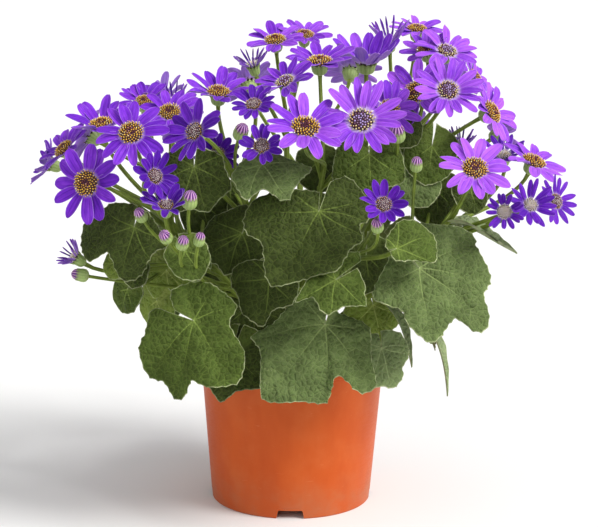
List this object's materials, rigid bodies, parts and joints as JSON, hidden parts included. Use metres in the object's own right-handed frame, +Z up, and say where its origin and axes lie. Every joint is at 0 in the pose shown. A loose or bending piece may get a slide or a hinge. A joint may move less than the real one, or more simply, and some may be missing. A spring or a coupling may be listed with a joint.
{
  "type": "potted florist cineraria",
  "caption": "Flowering florist's cineraria with violet daisy-like blooms above lobed green leaves, growing in a tapered round plastic nursery pot.",
  "frame": {"origin": "centre of the pot's underside, on the flat pad that it stands on", "axes": "+Z up along the pot's axis, -Y towards the plant's best side, X across its widest spread"},
  "size_m": [0.3585, 0.2933, 0.3304],
  "materials": {
    "pot": "satin terracotta-coloured plastic",
    "soil": "matt crumbly dark brown peat",
    "stem": "satin green, finely hairy",
    "leaf": "matt dark green, felted, with pale veins",
    "bloom": "silky violet rays with a golden and purple-brown disc"
  },
  "bodies": {
    "root": {"pot": "pot", "soil": "soil", "stems": "stem", "leaf_01": "leaf", "leaf_02": "leaf", "leaf_03": "leaf", "leaf_04": "leaf", "leaf_05": "leaf", "leaf_06": "leaf", "leaf_07": "leaf", "leaf_08": "leaf", "leaf_09": "leaf", "leaf_10": "leaf", "leaf_11": "leaf", "leaf_12": "leaf", "leaf_13": "leaf", "leaf_14": "leaf", "leaf_15": "leaf", "leaf_16": "leaf", "leaf_17": "leaf", "bloom_01": "bloom", "bloom_02": "bloom", "bloom_03": "bloom", "bloom_04": "bloom", "bloom_05": "bloom", "bloom_06": "bloom", "bloom_07": "bloom", "bloom_08": "bloom", "bloom_09": "bloom", "bloom_10": "bloom", "bloom_11": "bloom", "bloom_12": "bloom", "bloom_13": "bloom", "bloom_14": "bloom", "bloom_15": "bloom", "bloom_16": "bloom", "bloom_17": "bloom", "bloom_18": "bloom", "bloom_19": "bloom", "bloom_20": "bloom", "bloom_21": "bloom", "bloom_22": "bloom", "bloom_23": "bloom", "bloom_24": "bloom", "bloom_25": "bloom", "bloom_26": "bloom", "bloom_27": "bloom", "bloom_28": "bloom", "bloom_29": "bloom", "bloom_30": "bloom", "bloom_31": "bloom", "bloom_32": "bloom", "bloom_33": "bloom", "bloom_34": "bloom", "bloom_35": "bloom", "bloom_36": "bloom", "bloom_37": "bloom", "bloom_38": "bloom", "bloom_39": "bloom", "bloom_40": "bloom"}
  },
  "joints": []
}
